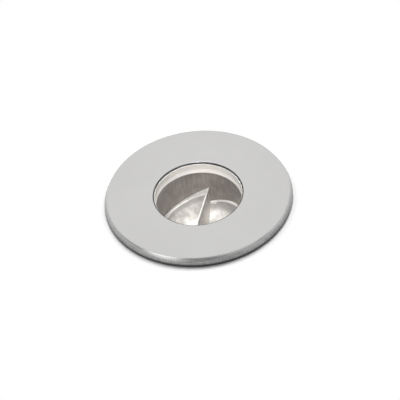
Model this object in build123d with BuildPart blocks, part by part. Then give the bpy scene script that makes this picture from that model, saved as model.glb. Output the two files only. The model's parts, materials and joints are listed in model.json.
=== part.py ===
from build123d import *
import os
from math import cos, radians, sin

# In-ground light: a stainless cover ring and a clear lens set flush with the ground, over a deep glare
# tube with a stepped two-bowl reflector, in a sealed lamp housing that stands in a buried sleeve.
# Millimetres. Z is up along the axis of the lamp, and Z = 0 is the foot of the buried sleeve.

os.makedirs("parts", exist_ok=True)

# Clearances
cut_overrun = 1.5
face_gap = 0.3
turning_gap = 0.15
seat_gap = 0.05

# Cover ring, the piece that shows above the ground
ring_overhang = 3.5
ring_plate = 2.0
ring_bevel_width = 1.4
ring_bevel_height = 3.2
ring_edge_radius = 0.35
ring_land = 0.3

# Black bead between the ring and the lens
bead_width = 0.7
bead_height = 0.8
bead_recess = 0.55

# Lens and its pale collar
lens_radius = 20.85
lens_recess = 0.4
lens_edge_chamfer = 0.3
collar_wall = 0.65
collar_lip_width = 0.4
collar_lip_height = 0.45
collar_flange_reach = 3.95
collar_flange = 1.6

# Clamp frame under the ring
frame_bore_gap = 0.4
frame_plate = 2.05
frame_edge = 1.8
snap_cord_radius = 0.9
snap_room = 1.4
clamp_screw_count = 6
clamp_screw_edge = 1.7

# Machine screws, shared by every piece that they hold
screw_radius = 1.5
screw_head_radius = 2.8
screw_head_height = 1.7
screw_socket_radius = 1.0
screw_socket_depth = 0.9
screw_length = 9.0
screw_hole_gap = 0.1

# Lamp housing
head_step = 3.0
head_height = 10.0
flange_reach = 5.5
flange_height = 2.0
rim_land = 3.5
rim_seal_height = 1.25
rim_seal_room = 0.4
core_wall = 6.4
fin_reach = 2.4
fin_width = 1.6
fin_group_count = 3
fins_per_group = 5
fin_spacing_angle = 15.0
fin_end_gap = 4.0
mid_floor = 3.0
chamber_height = 24.6
lead_hole_radius = 4.2

# Retaining springs on the flanks of the housing
spring_width = 8.0
spring_strip = 0.5
spring_tab = 7.0
spring_bow_height = 22.0
spring_foot_lift = 0.5
spring_top_drop = 3.0
spring_screw_length = 3.5

# Glare tube and the turntable that carries the optic
tube_wall = 0.8
tube_flange = 0.9
tube_flange_reach = 1.6
well_depth = 27.9
turntable_height = 4.0
turntable_groove = 1.2
pad_height = 0.5
board_height = 1.6
optic_screw_edge = 1.6
optic_screw_angle = 80.0
optic_screw_count = 3
optic_screw_length = 8.4

# Stepped reflector: two bowls under two tilted rims, either side of an upright fin
reflector_gap = 0.1
step_angle = 77.7
step_offset = 1.27
fin_thickness = 0.7
high_rim_drop = 4.3
high_rim_tilt = 31.6
high_rim_facing = 140.0
low_rim_drop = 17.9
low_rim_tilt = 20.6
low_rim_facing = 160.8
high_bowl_rim_edge = 1.94
high_bowl_rim_out = 5.66
high_bowl_rim_angle = 133.6
bowl_floor_height = 1.5
low_bowl_wall = 1.1
low_bowl_depth = 9.0
low_lamp_out = 8.9
low_lamp_angle = 347.0
aperture_radius = 2.6

# Light sources
package_width = 3.4
package_height = 0.9
dome_radius = 1.3

# Driver and terminals in the lower chamber
driver_edge_room = 2.6
driver_board_height = 1.6
driver_drop = 15.0
standoff_radius = 2.6
standoff_edge = 4.0
standoff_count = 3
standoff_angle = 90.0
transformer_width = 15.0
transformer_depth = 12.0
transformer_height = 10.0
transformer_place = -9.0
winding_width = 9.0
winding_over = 1.2
capacitor_radius = 3.2
capacitor_height = 9.5
capacitor_place = 10.0
capacitor_spacing = 8.0
terminal_width = 12.0
terminal_depth = 7.0
terminal_height = 5.0
terminal_place = -15.0
terminal_screw_radius = 1.3
terminal_screw_head = 0.6
terminal_pitch = 5.0
lead_radius = 0.7
lead_start = 7.0
lead_end = 1.6
lead_rise = 5.6
lead_slant = 5.4
lead_bend = 4.5

# Bottom cover with its seal, screws, vent and gland
cover_flange = 3.0
cover_spigot = 3.5
cover_spigot_wall = 3.0
cover_seal_radius = 0.9
cover_screw_count = 4
cover_screw_edge = 0.6
cover_screw_angle = 45.0
vent_radius = 4.0
vent_stem_radius = 2.5
vent_head = 2.6
vent_place = 17.0
gland_bore = 3.6
gland_thread_radius = 7.0
gland_wall = 1.8
gland_hex_radius = 9.5
gland_hex_height = 6.0
gland_washer_height = 1.0
gland_locknut_height = 3.0
gland_locknut_radius = 9.6
gland_nut_height = 10.0
gland_nut_wall = 1.9
gland_dome_radius = 6.2
gland_seat_share = 0.45

# Buried sleeve
cable_space = 10.0
sleeve_gap = 0.5
sleeve_wall = 2.5
sleeve_ledge = 2.0
sleeve_rim_gap = 0.3
sleeve_rim_wall = 1.7
rib_count = 6
rib_width = 7.0
rib_reach = 3.0
rib_first_angle = 30.0
entry_radius = 10.1
entry_wall = 1.6
entry_stub = 3.0
entry_rise = 2.0
entry_rib_height = 1.0
base_height = 3.0
base_centre_radius = 10.0
base_spigot = 3.0
base_spigot_wall = 2.2
drain_radius = 2.5
drain_reach = 9.0
drain_count = 6
base_screw_edge = 0.5
base_screw_length = 9.0
plug_head = 1.8
plug_head_over = 1.2
plug_wall = 2.0
plug_depth = 6.0

# Radii about the lamp's axis, worked out from the lens outwards
collar_inner = lens_radius + seat_gap
collar_outer = collar_inner + collar_wall
collar_flange_radius = collar_outer + collar_flange_reach
ring_opening_radius = collar_outer + turning_gap
well_radius = collar_inner - collar_lip_width
turntable_radius = well_radius + tube_wall + tube_flange_reach
optic_bore_radius = turntable_radius + face_gap
clamp_screw_circle = collar_flange_radius + clamp_screw_edge + screw_head_radius
frame_radius = clamp_screw_circle + screw_head_radius + frame_edge
ring_recess_radius = frame_radius + snap_room
rim_seal_inner = ring_recess_radius + rim_seal_room
flange_radius = ring_recess_radius + rim_land
head_radius = flange_radius - flange_reach
core_radius = head_radius - head_step
chamber_radius = core_radius - core_wall
driver_radius = chamber_radius - driver_edge_room
standoff_circle = driver_radius - standoff_edge
cover_screw_circle = core_radius - screw_head_radius - cover_screw_edge
sleeve_radius = head_radius + sleeve_gap
sleeve_outer = sleeve_radius + sleeve_wall
sleeve_rim_radius = flange_radius + sleeve_rim_gap + sleeve_rim_wall
ring_land_radius = sleeve_rim_radius + face_gap
ring_radius = sleeve_rim_radius + ring_overhang
rib_radius = sleeve_outer + rib_reach
entry_reach = rib_radius + entry_stub
base_screw_circle = rib_radius - screw_head_radius - base_screw_edge
drain_circle = (base_centre_radius + sleeve_radius) / 2

# Heights, worked out from the foot of the sleeve upwards
base_top = base_height
gland_foot = base_top + cable_space
gland_hex_foot = gland_foot + gland_nut_height
gland_washer_foot = gland_hex_foot + gland_hex_height
housing_foot = gland_washer_foot + gland_washer_height + cover_flange
cover_foot = housing_foot - cover_flange
chamber_top = housing_foot + chamber_height
floor_top = chamber_top + mid_floor
turntable_foot = floor_top + face_gap
pad_foot = turntable_foot + turntable_height
board_foot = pad_foot + pad_height
board_top = board_foot + board_height
tube_top = board_top + well_depth
head_top = tube_top + turning_gap
flange_foot = head_top - flange_height
head_foot = head_top - head_height
frame_plate_foot = head_top + collar_flange
frame_top = frame_plate_foot + frame_plate
ring_plate_foot = frame_top + face_gap
ring_top = ring_plate_foot + ring_plate
ring_foot = head_top + rim_seal_height + face_gap - ring_land
sleeve_top = ring_foot - face_gap
ledge_top = flange_foot - face_gap
driver_top = chamber_top - driver_drop
driver_foot = driver_top - driver_board_height

# The upright plane that turned sections are drawn on
upright = Plane.XZ


def annulus(inner, outer, bottom, top):
    """A flat ring about the lamp's axis, between two radii and two heights."""
    with BuildPart() as ring:
        with BuildSketch(Plane.XY.offset(bottom)):
            Circle(outer)
            Circle(inner, mode=Mode.SUBTRACT)
        extrude(amount=top - bottom)
    return ring


def cord_ring(radius, height, cord):
    """A round rubber cord ring about the lamp's axis."""
    with BuildPart() as ring:
        with BuildSketch(upright):
            with Locations((radius, height)):
                Circle(cord)
        revolve(axis=Axis.Z)
    return ring


def countersunk_screw(length):
    """A countersunk screw with a round driver socket, its head's face at Z = 0, pointing down."""
    with BuildPart() as screw:
        with BuildSketch(upright):
            with BuildLine():
                Polyline(
                    (0, 0),
                    (screw_head_radius, 0),
                    (screw_radius, -screw_head_height),
                    (screw_radius, -length),
                    (0, -length),
                    close=True,
                )
            make_face()
        revolve(axis=Axis.Z)
        with BuildSketch(Plane.XY):
            RegularPolygon(radius=screw_socket_radius, side_count=6)
        extrude(amount=-screw_socket_depth, mode=Mode.SUBTRACT)
    return screw


def screw_hole(length, gap=screw_hole_gap):
    """The space that a countersunk screw needs, open upwards."""
    with BuildPart() as hole:
        with BuildSketch(upright):
            with BuildLine():
                Polyline(
                    (0, cut_overrun),
                    (screw_head_radius + gap, cut_overrun),
                    (screw_head_radius + gap, 0),
                    (screw_radius + gap, -screw_head_height),
                    (screw_radius + gap, -length - gap),
                    (0, -length - gap),
                    close=True,
                )
            make_face()
        revolve(axis=Axis.Z)
    return hole


def face_down(height):
    """A plane that looks down at the given height, for screws driven from below."""
    return Plane(origin=(0, 0, height), x_dir=(1, 0, 0), z_dir=(0, 0, -1))


def bolt_circle(radius, count, start, plane):
    """Places evenly round a circle on a plane."""
    return [plane * place for place in PolarLocations(radius, count, start_angle=start).locations]


def around(radius, angle, height):
    """A point at a radius, an angle and a height about the lamp's axis."""
    return (radius * cos(radians(angle)), radius * sin(radians(angle)), height)


# Cover ring with its opening, bevelled rim, hollow back and the land that lies on the ground
with BuildPart() as trim_ring:
    with BuildSketch(upright) as ring_section:
        with BuildLine():
            Polyline(
                (ring_opening_radius, ring_plate_foot),
                (ring_recess_radius, ring_plate_foot),
                (ring_recess_radius, ring_foot + ring_land),
                (ring_land_radius, ring_foot + ring_land),
                (ring_land_radius, ring_foot),
                (ring_radius, ring_foot),
                (ring_radius, ring_top - ring_bevel_height),
                (ring_radius - ring_bevel_width, ring_top),
                (ring_opening_radius, ring_top),
                close=True,
            )
        make_face()
        fillet(ring_section.vertices().group_by(Axis.Y)[-1], radius=ring_edge_radius)
    revolve(axis=Axis.Z)
trim_ring.part.label = "trim_ring"

# Black bead in the mouth of the ring
bead_inner = ring_opening_radius - seat_gap - bead_width
bead_top = ring_top - bead_recess
with BuildPart() as lens_bead:
    with BuildSketch(upright) as bead_section:
        with Locations((bead_inner + bead_width / 2, bead_top - bead_height / 2)):
            Rectangle(bead_width, bead_height)
        fillet(bead_section.vertices().group_by(Axis.Y)[-1], radius=bead_width / 4)
    revolve(axis=Axis.Z)
lens_bead.part.label = "lens_bead"

# Pale collar that holds the lens, with a lip under it and a flange under the frame
collar_top = bead_top - bead_height - face_gap / 2
with BuildPart() as lens_collar:
    with BuildSketch(upright):
        with BuildLine():
            Polyline(
                (collar_inner - collar_lip_width, head_top),
                (collar_flange_radius, head_top),
                (collar_flange_radius, frame_plate_foot),
                (collar_outer, frame_plate_foot),
                (collar_outer, collar_top),
                (collar_inner, collar_top),
                (collar_inner, head_top + collar_lip_height),
                (collar_inner - collar_lip_width, head_top + collar_lip_height),
                close=True,
            )
        make_face()
    revolve(axis=Axis.Z)
lens_collar.part.label = "lens_collar"

# Clear lens, a thick plate with a chamfered edge
with BuildPart() as glass_lens:
    with BuildSketch(Plane.XY.offset(head_top + collar_lip_height)):
        Circle(lens_radius)
    extrude(amount=ring_top - lens_recess - head_top - collar_lip_height)
    chamfer(glass_lens.edges().group_by(Axis.Z)[-1], length=lens_edge_chamfer)
glass_lens.part.label = "glass_lens"

# Clamp frame with its cord groove and countersunk holes
snap_height = (ring_plate_foot + ring_foot) / 2
snap_radius = ring_recess_radius - seat_gap - snap_cord_radius
groove_floor = snap_radius - snap_cord_radius - seat_gap
with BuildPart() as clamp_frame:
    with BuildSketch(upright):
        with BuildLine():
            Polyline(
                (collar_outer + frame_bore_gap, frame_plate_foot),
                (collar_flange_radius + seat_gap, frame_plate_foot),
                (collar_flange_radius + seat_gap, head_top),
                (frame_radius, head_top),
                (frame_radius, frame_top),
                (collar_outer + frame_bore_gap, frame_top),
                close=True,
            )
        make_face()
    revolve(axis=Axis.Z)
    with BuildSketch(upright):
        with Locations((frame_radius, snap_height)):
            Rectangle(2 * (frame_radius - groove_floor), 2 * (snap_cord_radius + seat_gap))
    revolve(axis=Axis.Z, mode=Mode.SUBTRACT)
    with Locations(bolt_circle(clamp_screw_circle, clamp_screw_count, 0, Plane.XY.offset(frame_top))):
        add(screw_hole(screw_length).part, mode=Mode.SUBTRACT)
clamp_frame.part.label = "clamp_frame"

# Six screws that hold the frame down, hidden by the ring
with BuildPart() as clamp_screws:
    with Locations(bolt_circle(clamp_screw_circle, clamp_screw_count, 0, Plane.XY.offset(frame_top))):
        add(countersunk_screw(screw_length).part)
clamp_screws.part.label = "clamp_screws"

# Cord that the ring snaps over
snap_cord = cord_ring(snap_radius, snap_height, snap_cord_radius)
snap_cord.part.label = "snap_cord"

# Flat seal on the flange, under the rim of the ring
rim_seal = annulus(rim_seal_inner, flange_radius - seat_gap, head_top, head_top + rim_seal_height)
rim_seal.part.label = "rim_seal"

# Lamp housing: flanged head, cylindrical core with fins, optic bore above and driver chamber below
spring_top = head_foot - spring_top_drop
fin_foot = housing_foot + fin_end_gap
fin_top = head_foot
group_angle = 360 / fin_group_count
fin_angles = [
    group_angle * (group + 0.5) + fin_spacing_angle * (step - (fins_per_group - 1) / 2)
    for group in range(fin_group_count)
    for step in range(fins_per_group)
]
spring_screw_height = spring_top - spring_tab / 2
with BuildPart() as lamp_housing:
    with BuildSketch(upright):
        with BuildLine():
            Polyline(
                (optic_bore_radius, head_top),
                (flange_radius, head_top),
                (flange_radius, flange_foot),
                (head_radius, flange_foot),
                (head_radius, head_foot),
                (core_radius, head_foot - (head_radius - core_radius)),
                (core_radius, housing_foot),
                (chamber_radius, housing_foot),
                (chamber_radius, chamber_top),
                (lead_hole_radius, chamber_top),
                (lead_hole_radius, floor_top),
                (optic_bore_radius, floor_top),
                close=True,
            )
        make_face()
    revolve(axis=Axis.Z)
    with BuildSketch(Plane.XY.offset(fin_foot)):
        for fin_angle in fin_angles:
            with Locations(around(core_radius, fin_angle, 0)):
                Rectangle(2 * fin_reach, fin_width, rotation=fin_angle)
        Circle(core_radius - cut_overrun, mode=Mode.SUBTRACT)
    extrude(amount=fin_top - fin_foot)
    with Locations(bolt_circle(clamp_screw_circle, clamp_screw_count, 0, Plane.XY.offset(frame_top))):
        add(screw_hole(screw_length).part, mode=Mode.SUBTRACT)
    with Locations(bolt_circle(cover_screw_circle, cover_screw_count, cover_screw_angle, face_down(cover_foot))):
        add(screw_hole(screw_length).part, mode=Mode.SUBTRACT)
    with Locations(
        [
            Plane(origin=around(core_radius, group_angle * group, spring_screw_height),
                  z_dir=around(1, group_angle * group, 0)).location
            for group in range(fin_group_count)
        ]
    ):
        Cylinder(
            screw_radius + screw_hole_gap,
            2 * (spring_screw_length + screw_hole_gap),
            mode=Mode.SUBTRACT,
        )
lamp_housing.part.label = "lamp_housing"

# Bowed leaf springs that centre the lamp in the sleeve
spring_back = core_radius + seat_gap
spring_reach = sleeve_radius - face_gap - spring_back
bow_foot =spring_top - spring_tab - spring_bow_height
with BuildPart() as one_spring:
    with BuildSketch(upright):
        with BuildLine():
            Line((spring_back, spring_top), (spring_back, spring_top - spring_tab))
            ThreePointArc(
                (spring_back, spring_top - spring_tab),
                (spring_back + spring_reach - spring_strip, spring_top - spring_tab - spring_bow_height / 2),
                (spring_back + spring_foot_lift, bow_foot),
            )
            Line((spring_back + spring_foot_lift, bow_foot), (spring_back + spring_foot_lift + spring_strip, bow_foot))
            ThreePointArc(
                (spring_back + spring_foot_lift + spring_strip, bow_foot),
                (spring_back + spring_reach, spring_top - spring_tab - spring_bow_height / 2),
                (spring_back + spring_strip, spring_top - spring_tab),
            )
            Line((spring_back + spring_strip, spring_top - spring_tab), (spring_back + spring_strip, spring_top))
            Line((spring_back + spring_strip, spring_top), (spring_back, spring_top))
        make_face()
    extrude(amount=spring_width / 2, both=True)
    with Locations(Plane(origin=(core_radius, 0, spring_screw_height), z_dir=(1, 0, 0)).location):
        Cylinder(screw_radius + screw_hole_gap, 2 * (seat_gap + spring_strip + cut_overrun), mode=Mode.SUBTRACT)
with BuildPart() as retaining_springs:
    with Locations(bolt_circle(0, fin_group_count, 0, Plane.XY)):
        add(one_spring.part)
retaining_springs.part.label = "retaining_springs"

# Low round-headed screws that hold the springs
spring_face = spring_back + spring_strip
with BuildPart() as one_spring_screw:
    with BuildSketch(upright):
        with BuildLine():
            Polyline(
                (core_radius - spring_screw_length, spring_screw_height),
                (core_radius - spring_screw_length, spring_screw_height + screw_radius),
                (spring_face, spring_screw_height + screw_radius),
                (spring_face, spring_screw_height + screw_head_radius),
                (spring_face + screw_socket_depth, spring_screw_height + screw_head_radius),
                (spring_face + screw_head_height, spring_screw_height + screw_radius),
                (spring_face + screw_head_height, spring_screw_height),
                close=True,
            )
        make_face()
    revolve(axis=Axis((0, 0, spring_screw_height), (1, 0, 0)))
with BuildPart() as spring_screws:
    with Locations(bolt_circle(0, fin_group_count, 0, Plane.XY)):
        add(one_spring_screw.part)
spring_screws.part.label = "spring_screws"

# Turntable that carries the optic, with a finger groove
reflector_radius = well_radius - reflector_gap
optic_screw_circle = reflector_radius - screw_head_radius - optic_screw_edge
with BuildPart() as turntable:
    with BuildSketch(Plane.XY.offset(turntable_foot)):
        Circle(turntable_radius)
        Circle(lead_hole_radius, mode=Mode.SUBTRACT)
    extrude(amount=turntable_height)
    with BuildSketch(upright):
        with Locations((turntable_radius, turntable_foot + turntable_height / 2)):
            Rectangle(turntable_groove, turntable_groove)
    revolve(axis=Axis.Z, mode=Mode.SUBTRACT)
    with Locations(
        bolt_circle(optic_screw_circle, optic_screw_count, -optic_screw_angle, face_down(turntable_foot))
    ):
        add(screw_hole(optic_screw_length).part, mode=Mode.SUBTRACT)
turntable.part.label = "turntable"


def optic_disc(radius, bottom, height):
    """A disc of the optic with the lead hole and the three screw holes."""
    with BuildPart() as disc:
        with BuildSketch(Plane.XY.offset(bottom)):
            Circle(radius)
            Circle(lead_hole_radius, mode=Mode.SUBTRACT)
        extrude(amount=height)
        with Locations(
            bolt_circle(optic_screw_circle, optic_screw_count, -optic_screw_angle, face_down(turntable_foot))
        ):
            add(screw_hole(optic_screw_length).part, mode=Mode.SUBTRACT)
    return disc


# Soft heat pad under the board
thermal_pad = optic_disc(well_radius - face_gap, pad_foot, pad_height)
thermal_pad.part.label = "thermal_pad"

# Board that carries the two light sources
led_board = optic_disc(well_radius, board_foot, board_height)
led_board.part.label = "led_board"

# Three screws through the turntable, pad and board into the reflector
with BuildPart() as optic_screws:
    with Locations(
        bolt_circle(optic_screw_circle, optic_screw_count, -optic_screw_angle, face_down(turntable_foot))
    ):
        add(countersunk_screw(optic_screw_length).part)
optic_screws.part.label = "optic_screws"

# Dark glare tube with a flange that centres it in the bore
with BuildPart() as glare_tube:
    with BuildSketch(upright):
        with BuildLine():
            Polyline(
                (well_radius, board_top),
                (well_radius, tube_top),
                (turntable_radius, tube_top),
                (turntable_radius, tube_top - tube_flange),
                (well_radius + tube_wall, tube_top - tube_flange),
                (well_radius + tube_wall, board_top),
                close=True,
            )
        make_face()
    revolve(axis=Axis.Z)
glare_tube.part.label = "glare_tube"

# Stepped reflector
high_bowl_rim_radius = reflector_radius - high_bowl_rim_out - high_bowl_rim_edge
step_plane = Plane(
    origin=around(step_offset, step_angle - 90, 0),
    x_dir=around(1, step_angle, 0),
    z_dir=around(1, step_angle + 90, 0),
)
fin_plane = step_plane.offset(fin_thickness)


def rim_plane(drop, tilt, facing):
    """A rim's tilted plane: it meets the axis the drop below the tube's top, and its top faces one way."""
    return Plane(
        origin=(0, 0, tube_top - drop),
        z_dir=around(sin(radians(tilt)), facing, cos(radians(tilt))),
    )


high_rim = rim_plane(high_rim_drop, high_rim_tilt, high_rim_facing)
low_rim = rim_plane(low_rim_drop, low_rim_tilt, low_rim_facing)
bowl_floor = board_top + bowl_floor_height

# The high bowl is a paraboloid about an upright axis. Where a tilted plane cuts such a bowl, the rim is a
# true circle in plan, and its centre lies beside the bowl's axis by slope / (2 * curvature).
high_slope = sin(radians(high_rim_tilt)) / cos(radians(high_rim_tilt))
rim_centre = around(high_bowl_rim_out, high_bowl_rim_angle, 0)
rim_fall = high_slope * high_bowl_rim_out * cos(radians(high_bowl_rim_angle - high_rim_facing))
rim_rise = tube_top - high_rim_drop - rim_fall - bowl_floor
bowl_curve = (rim_rise + (rim_rise**2 - (high_slope * high_bowl_rim_radius) ** 2) ** 0.5) / (
    2 * high_bowl_rim_radius**2
)
bowl_shift = around(high_slope / (2 * bowl_curve), high_rim_facing, 0)
high_lamp = (rim_centre[0] + bowl_shift[0], rim_centre[1] + bowl_shift[1])
low_lamp = around(low_lamp_out, low_lamp_angle, 0)[:2]

bowl_cut_radius = 2 * well_radius
with BuildPart() as high_bowl:
    with BuildSketch(Plane(origin=(*high_lamp, 0), x_dir=(1, 0, 0), z_dir=(0, -1, 0))):
        with BuildLine():
            Bezier(
                (0, bowl_floor),
                (bowl_cut_radius / 2, bowl_floor),
                (bowl_cut_radius, bowl_floor + bowl_curve * bowl_cut_radius**2),
            )
            Line(
                (bowl_cut_radius, bowl_floor + bowl_curve * bowl_cut_radius**2),
                (0, bowl_floor + bowl_curve * bowl_cut_radius**2),
            )
            Line((0, bowl_floor + bowl_curve * bowl_cut_radius**2), (0, bowl_floor))
        make_face()
    revolve(axis=Axis((*high_lamp, 0), (0, 0, 1)))
    split(bisect_by=fin_plane, keep=Keep.TOP)

low_bowl_radius = reflector_radius - low_bowl_wall
low_bowl_spring = bowl_floor + low_bowl_depth
with BuildPart() as low_bowl:
    with BuildSketch(upright):
        with BuildLine():
            EllipticalCenterArc(
                (0, low_bowl_spring), low_bowl_radius, low_bowl_depth, start_angle=270, arc_size=90
            )
            Line((low_bowl_radius, low_bowl_spring), (low_bowl_radius, tube_top))
            Line((low_bowl_radius, tube_top), (0, tube_top))
            Line((0, tube_top), (0, bowl_floor))
        make_face()
    revolve(axis=Axis.Z)

with BuildPart() as high_half:
    with BuildSketch(Plane.XY.offset(board_top)):
        Circle(reflector_radius)
    extrude(amount=well_depth)
    split(bisect_by=step_plane, keep=Keep.TOP)
    split(bisect_by=high_rim, keep=Keep.BOTTOM)
    add(high_bowl.part, mode=Mode.SUBTRACT)

with BuildPart() as low_half:
    with BuildSketch(Plane.XY.offset(board_top)):
        Circle(reflector_radius)
    extrude(amount=well_depth)
    split(bisect_by=step_plane, keep=Keep.BOTTOM)
    split(bisect_by=low_rim, keep=Keep.BOTTOM)
    add(low_bowl.part, mode=Mode.SUBTRACT)

with BuildPart() as reflector:
    add(high_half.part)
    add(low_half.part)
    with Locations((*high_lamp, board_top), (*low_lamp, board_top)):
        Cylinder(aperture_radius, 2 * (bowl_floor_height + package_height), mode=Mode.SUBTRACT)
    with Locations(
        bolt_circle(optic_screw_circle, optic_screw_count, -optic_screw_angle, face_down(turntable_foot))
    ):
        add(screw_hole(optic_screw_length).part, mode=Mode.SUBTRACT)
reflector.part.label = "reflector"

# Two light sources: square packages with a clear dome on each
with BuildPart() as led_packages:
    with BuildSketch(Plane.XY.offset(board_top)):
        with Locations(high_lamp, low_lamp):
            Rectangle(package_width, package_width)
    extrude(amount=package_height)
led_packages.part.label = "led_packages"

with BuildPart() as one_dome:
    Sphere(dome_radius)
    split(bisect_by=Plane.XY, keep=Keep.TOP)
with BuildPart() as led_domes:
    with Locations(
        (*high_lamp, board_top + package_height),
        (*low_lamp, board_top + package_height),
    ):
        add(one_dome.part)
led_domes.part.label = "led_domes"

# Driver board on three standoffs under the floor of the optic bore
with BuildPart() as driver_board:
    with BuildSketch(Plane.XY.offset(driver_foot)):
        Circle(driver_radius)
        with PolarLocations(standoff_circle, standoff_count, start_angle=standoff_angle):
            Circle(screw_radius + screw_hole_gap, mode=Mode.SUBTRACT)
    extrude(amount=driver_board_height)
driver_board.part.label = "driver_board"

with BuildPart() as driver_standoffs:
    with BuildSketch(Plane.XY.offset(driver_top)):
        with PolarLocations(standoff_circle, standoff_count, start_angle=standoff_angle):
            RegularPolygon(radius=standoff_radius, side_count=6)
    extrude(amount=driver_drop)
    with BuildSketch(Plane.XY.offset(driver_top)):
        with PolarLocations(standoff_circle, standoff_count, start_angle=standoff_angle):
            Circle(screw_radius + screw_hole_gap)
    extrude(amount=screw_length, mode=Mode.SUBTRACT)
driver_standoffs.part.label = "driver_standoffs"

driver_screw_reach = screw_length - driver_board_height
with BuildPart() as driver_screws:
    with BuildSketch(Plane.XY.offset(driver_foot)):
        with PolarLocations(standoff_circle, standoff_count, start_angle=standoff_angle):
            Circle(screw_radius)
    extrude(amount=driver_screw_reach)
    with BuildSketch(Plane.XY.offset(driver_foot)):
        with PolarLocations(standoff_circle, standoff_count, start_angle=standoff_angle):
            Circle(screw_head_radius)
    extrude(amount=-screw_head_height)
driver_screws.part.label = "driver_screws"

# Transformer with a core and a winding that stands out of it
with BuildPart() as driver_transformer:
    with BuildSketch(Plane.XY.offset(driver_top)):
        with Locations((0, transformer_place)):
            Rectangle(transformer_width, transformer_depth)
    extrude(amount=transformer_height)
    chamfer(driver_transformer.edges().filter_by(Axis.Z), length=lens_edge_chamfer)
    with BuildSketch(Plane.XY.offset(driver_top + winding_over)):
        with Locations((0, transformer_place)):
            Rectangle(winding_width, transformer_depth + 2 * winding_over)
    extrude(amount=transformer_height - 2 * winding_over)
driver_transformer.part.label = "driver_transformer"

with BuildPart() as driver_capacitors:
    with BuildSketch(Plane.XY.offset(driver_top)):
        with Locations((-capacitor_spacing, capacitor_place), (capacitor_spacing, capacitor_place)):
            Circle(capacitor_radius)
    extrude(amount=capacitor_height)
    fillet(driver_capacitors.edges().group_by(Axis.Z)[-1], radius=lens_edge_chamfer)
driver_capacitors.part.label = "driver_capacitors"

# Supply terminals under the driver board
with BuildPart() as terminal_block:
    with BuildSketch(Plane.XY.offset(driver_foot)):
        with Locations((0, terminal_place)):
            Rectangle(terminal_width, terminal_depth)
    extrude(amount=-terminal_height)
    with BuildSketch(Plane.XY.offset(driver_foot - terminal_height)):
        with Locations((-terminal_pitch / 2, terminal_place), (terminal_pitch / 2, terminal_place)):
            Circle(terminal_screw_radius + screw_hole_gap)
    extrude(amount=terminal_height / 2, mode=Mode.SUBTRACT)
terminal_block.part.label = "terminal_block"

terminal_screw_foot = driver_foot - terminal_height + terminal_screw_head
with BuildPart() as terminal_screws:
    with BuildSketch(Plane.XY.offset(terminal_screw_foot)):
        with Locations((-terminal_pitch / 2, terminal_place), (terminal_pitch / 2, terminal_place)):
            Circle(terminal_screw_radius)
    extrude(amount=terminal_height / 2 - terminal_screw_head)
    with BuildSketch(Plane.XY.offset(terminal_screw_foot)):
        with Locations((-terminal_pitch / 2, terminal_place), (terminal_pitch / 2, terminal_place)):
            Rectangle(2 * terminal_screw_radius, terminal_screw_head)
    extrude(amount=terminal_screw_head, mode=Mode.SUBTRACT)
terminal_screws.part.label = "terminal_screws"


def light_lead(side):
    """A lead from the driver up through the floor's hole to the underside of the board."""
    route = [
        (side * lead_start, 0, driver_top),
        (side * lead_start, 0, driver_top + lead_rise),
        (side * lead_end, 0, driver_top + lead_rise + lead_slant),
        (side * lead_end, 0, board_foot - face_gap),
    ]
    with BuildPart() as lead:
        with BuildLine() as path:
            FilletPolyline(*route, radius=lead_bend)
        with BuildSketch(Plane(origin=route[0], z_dir=(0, 0, 1))):
            Circle(lead_radius)
        sweep(path=path.line)
    return lead


lead_positive = light_lead(1)
lead_positive.part.label = "lead_positive"
lead_negative = light_lead(-1)
lead_negative.part.label = "lead_negative"

# Bottom cover with a spigot, a seal groove, a gland hole, a vent hole and four screw holes
spigot_radius = chamber_radius - seat_gap
seal_height = housing_foot + cover_spigot / 2
seal_radius = spigot_radius - cover_seal_radius
with BuildPart() as back_cover:
    with BuildSketch(Plane.XY.offset(cover_foot)):
        Circle(core_radius)
    extrude(amount=cover_flange)
    chamfer(back_cover.edges().group_by(Axis.Z)[0], length=lens_edge_chamfer)
    with BuildSketch(Plane.XY.offset(housing_foot)):
        Circle(spigot_radius)
        Circle(spigot_radius - cover_spigot_wall, mode=Mode.SUBTRACT)
    extrude(amount=cover_spigot)
    with BuildSketch(upright):
        with Locations((spigot_radius, seal_height)):
            Rectangle(
                4 * (cover_seal_radius + seat_gap),
                2 * (cover_seal_radius + seat_gap),
            )
    revolve(axis=Axis.Z, mode=Mode.SUBTRACT)
    with BuildSketch(Plane.XY.offset(cover_foot)):
        Circle(gland_thread_radius + screw_hole_gap)
        with Locations((vent_place, 0)):
            Circle(vent_stem_radius + screw_hole_gap)
    extrude(amount=cover_flange, mode=Mode.SUBTRACT)
    with Locations(bolt_circle(cover_screw_circle, cover_screw_count, cover_screw_angle, face_down(cover_foot))):
        add(screw_hole(screw_length).part, mode=Mode.SUBTRACT)
back_cover.part.label = "back_cover"

cover_seal = cord_ring(seal_radius, seal_height, cover_seal_radius)
cover_seal.part.label = "cover_seal"

with BuildPart() as cover_screws:
    with Locations(bolt_circle(cover_screw_circle, cover_screw_count, cover_screw_angle, face_down(cover_foot))):
        add(countersunk_screw(screw_length).part)
cover_screws.part.label = "cover_screws"

# Pressure vent pressed into the cover, with cross slots in its head
with BuildPart() as vent_plug:
    with BuildSketch(Plane.XY.offset(cover_foot)):
        with Locations((vent_place, 0)):
            Circle(vent_radius)
    extrude(amount=-vent_head)
    chamfer(vent_plug.edges().group_by(Axis.Z)[0], length=lens_edge_chamfer)
    with BuildSketch(Plane.XY.offset(cover_foot - vent_head)):
        with Locations((vent_place, 0)):
            Rectangle(3 * vent_radius, vent_head / 3)
            Rectangle(vent_head / 3, 3 * vent_radius)
    extrude(amount=vent_head / 3, mode=Mode.SUBTRACT)
    with BuildSketch(Plane.XY.offset(cover_foot)):
        with Locations((vent_place, 0)):
            Circle(vent_stem_radius)
    extrude(amount=cover_flange)
vent_plug.part.label = "vent_plug"

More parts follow.
